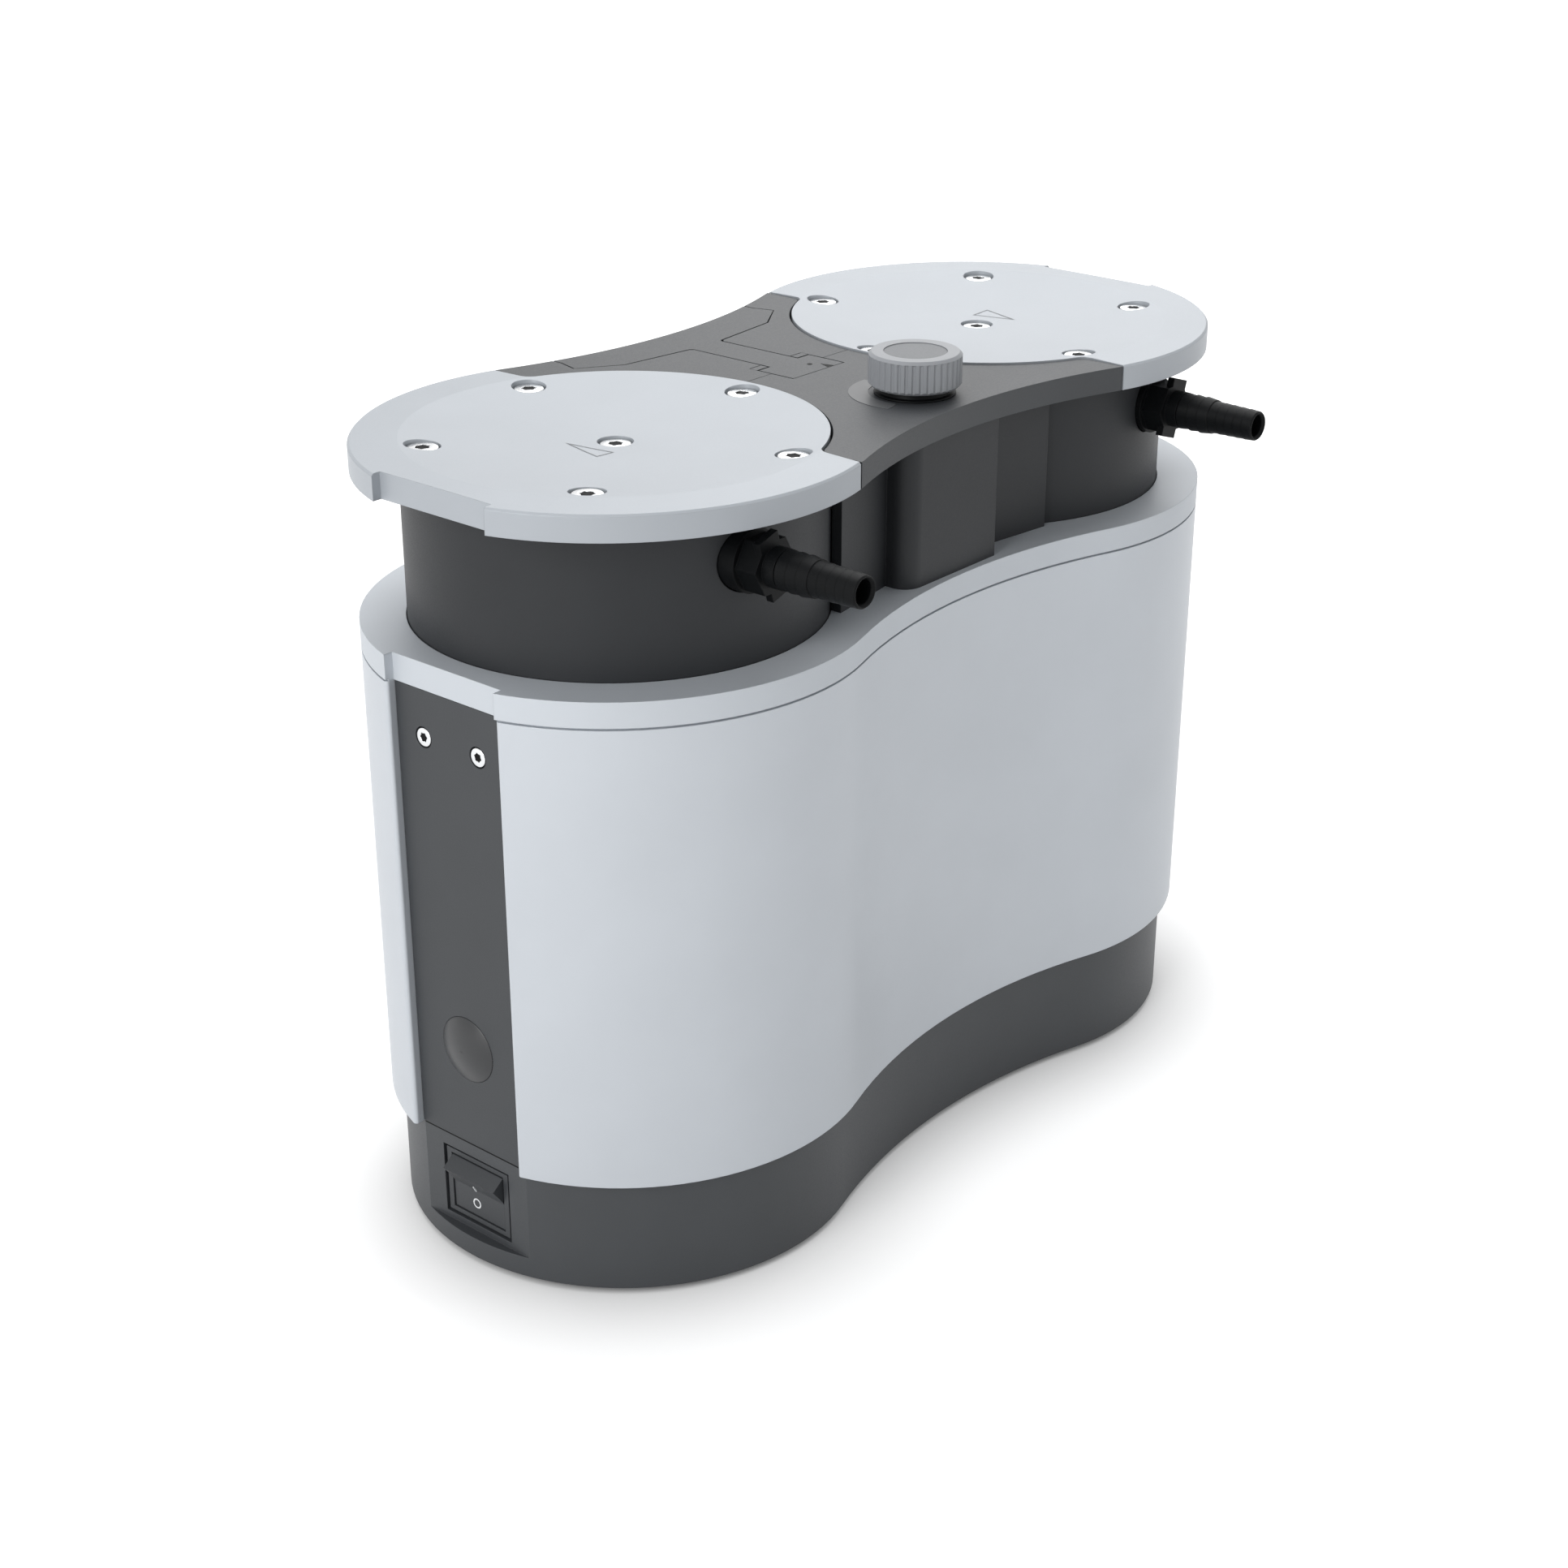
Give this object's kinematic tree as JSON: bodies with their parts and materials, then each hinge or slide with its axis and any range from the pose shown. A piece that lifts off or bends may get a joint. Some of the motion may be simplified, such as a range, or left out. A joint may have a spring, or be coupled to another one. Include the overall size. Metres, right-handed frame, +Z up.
{
  "type": "diaphragm vacuum pump",
  "caption": "Laboratory diaphragm vacuum pump: waisted silver housing with round pump heads, hose barbs, regulating knob, fold-up carry handle and rocker switch.",
  "frame": {"origin": "on the standing surface, below the middle of the pump between the two heads", "axes": "+X towards the head at the mains inlet end (the switch end is -X), the hose connectors point along -Y, +Z up"},
  "size_m": [0.294, 0.1639, 0.2388],
  "materials": {
    "silver_paint": "satin silver paint",
    "plate_paint": "satin silver paint",
    "graphite_plastic": "fine matt texture",
    "switch_plastic": "fine matt texture",
    "black_plastic": "matt",
    "knob_grey": "satin",
    "knob_cap_grey": "satin",
    "black_rubber": "matt",
    "screw_steel": "bright",
    "plated_brass": "bright",
    "cast_aluminium": "as cast",
    "machined_steel": "ground",
    "laminated_steel": "stacked sheet",
    "enamelled_copper": "enamelled",
    "head_polymer": "moulded",
    "diaphragm_elastomer": "smooth",
    "fan_plastic": "moulded",
    "board_green": "coated",
    "capacitor_can": "drawn"
  },
  "bodies": {
    "root": {"base_tub": "graphite_plastic", "centre_housing": "graphite_plastic", "circuit_board": "board_green", "connector_seals": "black_rubber", "cover_handle_side": "graphite_plastic", "cover_knob_side": "graphite_plastic", "crankcase_front": "cast_aluminium", "crankcase_rear": "cast_aluminium", "diaphragm_front": "diaphragm_elastomer", "diaphragm_rear": "diaphragm_elastomer", "front_plug": "black_rubber", "front_strip": "graphite_plastic", "handle_pin": "screw_steel", "head_cover_front": "head_polymer", "head_cover_rear": "head_polymer", "head_housing_front": "graphite_plastic", "head_housing_rear": "graphite_plastic", "head_plate_front": "head_polymer", "head_plate_rear": "head_polymer", "hose_connector_front": "black_plastic", "hose_connector_rear": "black_plastic", "inlet_pins": "plated_brass", "knob_collar": "black_plastic", "lid_ring": "silver_paint", "mains_inlet": "black_plastic", "motor_housing": "cast_aluminium", "plate_screws_front": "screw_steel", "plate_screws_rear": "screw_steel", "rear_strip": "graphite_plastic", "rubber_buffers": "black_rubber", "rubber_feet": "black_rubber", "run_capacitor": "capacitor_can", "shaft_bearings": "machined_steel", "side_shell_left": "silver_paint", "side_shell_right": "silver_paint", "stator_core": "laminated_steel", "stator_windings": "enamelled_copper", "strip_screws": "screw_steel", "switch_body": "switch_plastic", "top_plate_front": "plate_paint", "top_plate_rear": "plate_paint", "transfer_tube": "head_polymer", "valve_body": "machined_steel", "valve_discs": "diaphragm_elastomer"},
    "drive": {"motor_shaft": "machined_steel", "rotor_core": "laminated_steel", "cooling_fan": "fan_plastic", "eccentric_front": "machined_steel", "eccentric_rear": "machined_steel"},
    "rod_front": {"connecting_rod_front": "cast_aluminium", "rod_bearing_front": "machined_steel", "clamp_disc_front": "cast_aluminium"},
    "rod_rear": {"connecting_rod_rear": "cast_aluminium", "rod_bearing_rear": "machined_steel", "clamp_disc_rear": "cast_aluminium"},
    "knob": {"knob": "knob_grey", "knob_cap": "knob_cap_grey", "valve_stem": "machined_steel"},
    "rocker": {"rocker": "switch_plastic"},
    "handle": {"carry_handle": "graphite_plastic"}
  },
  "joints": [
    {"name": "motor_spin", "type": "hinge", "parent": "root", "child": "drive", "pos_m": [0, 0, 0.092], "axis": [1, 0, 0], "continuous": true},
    {"name": "rod_front_hinge", "type": "hinge", "parent": "drive", "child": "rod_front", "pos_m": [-0.08, 0, 0.095], "axis": [1, 0, 0], "continuous": true, "deforming": ["diaphragm_front"]},
    {"name": "rod_rear_hinge", "type": "hinge", "parent": "drive", "child": "rod_rear", "pos_m": [0.08, 0, 0.089], "axis": [1, 0, 0], "continuous": true, "deforming": ["diaphragm_rear"]},
    {"name": "knob_turn", "type": "hinge", "parent": "root", "child": "knob", "pos_m": [0, -0.0378, 0.23], "axis": [0, 0, 1], "range_deg": [0, 300]},
    {"name": "rocker_tilt", "type": "hinge", "parent": "root", "child": "rocker", "pos_m": [-0.1401, 0, 0.0213], "axis": [0, 1, 0], "range_deg": [0, 18]},
    {"name": "handle_fold", "type": "hinge", "parent": "root", "child": "handle", "pos_m": [0, 0.0045, 0.2224], "axis": [1, 0, 0], "range_deg": [0, 90]}
  ],
  "couplings": [
    {"joint": "rod_front_hinge", "follows": "motor_spin", "ratio": -1},
    {"joint": "rod_rear_hinge", "follows": "motor_spin", "ratio": -1}
  ]
}
